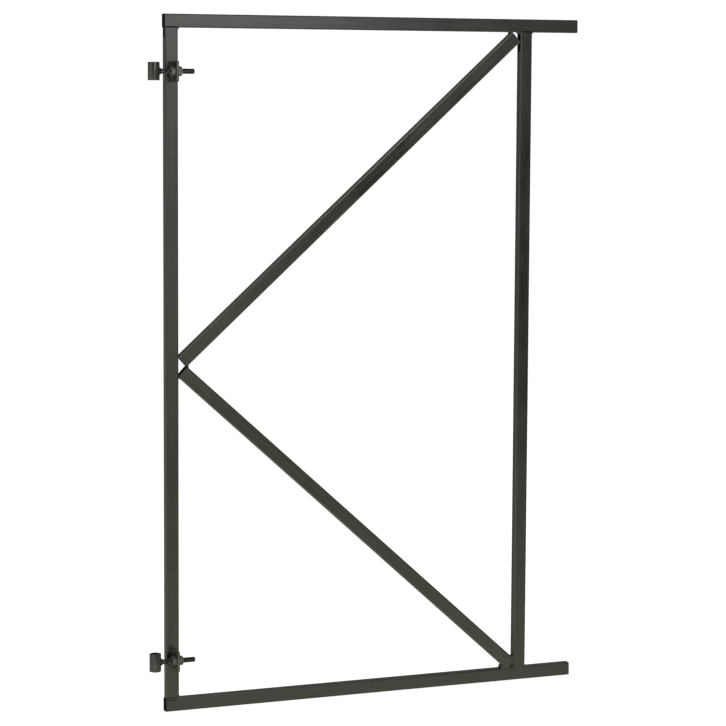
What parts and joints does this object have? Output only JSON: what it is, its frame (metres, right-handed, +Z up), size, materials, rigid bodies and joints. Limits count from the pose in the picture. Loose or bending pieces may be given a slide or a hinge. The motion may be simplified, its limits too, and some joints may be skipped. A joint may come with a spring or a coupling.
{
  "type": "gate leaf frame",
  "caption": "Black painted steel gate leaf frame with K bracing and rails that run past the closing stile, hung on adjustable eye bolt hinges.",
  "frame": {"origin": "on the hinge axis, at the lower face of the lower eye", "axes": "+X from the hinge axis to the closing side, +Y from the hinge hardware's side to the back of the leaf, +Z up along the hinge axis"},
  "size_m": [1.0462, 0.055, 1.55],
  "materials": {
    "painted_tube": "thin semi-matt black paint over rolled tube, with faint streaks along it",
    "painted_weld": "rippled weld bead under semi-matt black paint",
    "hinge_hardware": "black painted steel with bare worn edges",
    "cap_plastic": "fine grained matt black plastic"
  },
  "bodies": {
    "leaf": {"hinge_stile": "painted_tube", "closing_stile": "painted_tube", "top_rail": "painted_tube", "bottom_rail": "painted_tube", "upper_brace": "painted_tube", "lower_brace": "painted_tube", "top_cap_hinge_side": "cap_plastic", "top_cap_closing_side": "cap_plastic", "bottom_cap_hinge_side": "cap_plastic", "bottom_cap_closing_side": "cap_plastic", "upper_lug": "painted_tube", "lower_lug": "painted_tube", "upper_lug_welds": "painted_weld", "lower_lug_welds": "painted_weld", "hinge_stile_top_weld": "painted_weld", "hinge_stile_bottom_weld": "painted_weld", "closing_stile_top_welds": "painted_weld", "closing_stile_bottom_weld": "painted_weld", "upper_brace_top_welds": "painted_weld", "lower_brace_bottom_welds": "painted_weld", "lower_brace_foot_fill": "painted_weld", "brace_heel_welds": "painted_weld", "brace_junction_weld": "painted_weld"},
    "upper_eye_bolt": {"upper_rod": "hinge_hardware", "upper_eye": "hinge_hardware", "upper_eye_weld": "painted_weld"},
    "upper_inner_nut": {"upper_inner_nut": "hinge_hardware"},
    "upper_outer_nut": {"upper_outer_nut": "hinge_hardware"},
    "lower_eye_bolt": {"lower_rod": "hinge_hardware", "lower_eye": "hinge_hardware", "lower_eye_weld": "painted_weld"},
    "lower_inner_nut": {"lower_inner_nut": "hinge_hardware"},
    "lower_outer_nut": {"lower_outer_nut": "hinge_hardware"}
  },
  "joints": [
    {"name": "upper_outer_nut_turn", "type": "hinge", "parent": "leaf", "child": "upper_outer_nut", "pos_m": [0.058, 0, 1.325], "axis": [1, 0, 0], "range_deg": [-3960, 5760]},
    {"name": "upper_inner_nut_turn", "type": "hinge", "parent": "leaf", "child": "upper_inner_nut", "pos_m": [0.043, 0, 1.325], "axis": [1, 0, 0], "range_deg": [-3960, 5760]},
    {"name": "upper_eye_bolt_slide", "type": "slide", "parent": "leaf", "child": "upper_eye_bolt", "axis": [1, 0, 0], "range_m": [-0.028, 0.01925]},
    {"name": "lower_outer_nut_turn", "type": "hinge", "parent": "leaf", "child": "lower_outer_nut", "pos_m": [0.058, 0, 0.02], "axis": [1, 0, 0], "range_deg": [-3960, 5760]},
    {"name": "lower_inner_nut_turn", "type": "hinge", "parent": "leaf", "child": "lower_inner_nut", "pos_m": [0.043, 0, 0.02], "axis": [1, 0, 0], "range_deg": [-3960, 5760]},
    {"name": "lower_eye_bolt_slide", "type": "slide", "parent": "leaf", "child": "lower_eye_bolt", "axis": [1, 0, 0], "range_m": [-0.028, 0.01925]}
  ],
  "couplings": [
    {"joint": "upper_inner_nut_turn", "follows": "upper_outer_nut_turn", "ratio": 1},
    {"joint": "upper_eye_bolt_slide", "follows": "upper_outer_nut_turn", "m_per_rad": -0.00027852},
    {"joint": "lower_inner_nut_turn", "follows": "lower_outer_nut_turn", "ratio": 1},
    {"joint": "lower_eye_bolt_slide", "follows": "lower_outer_nut_turn", "m_per_rad": -0.00027852}
  ]
}
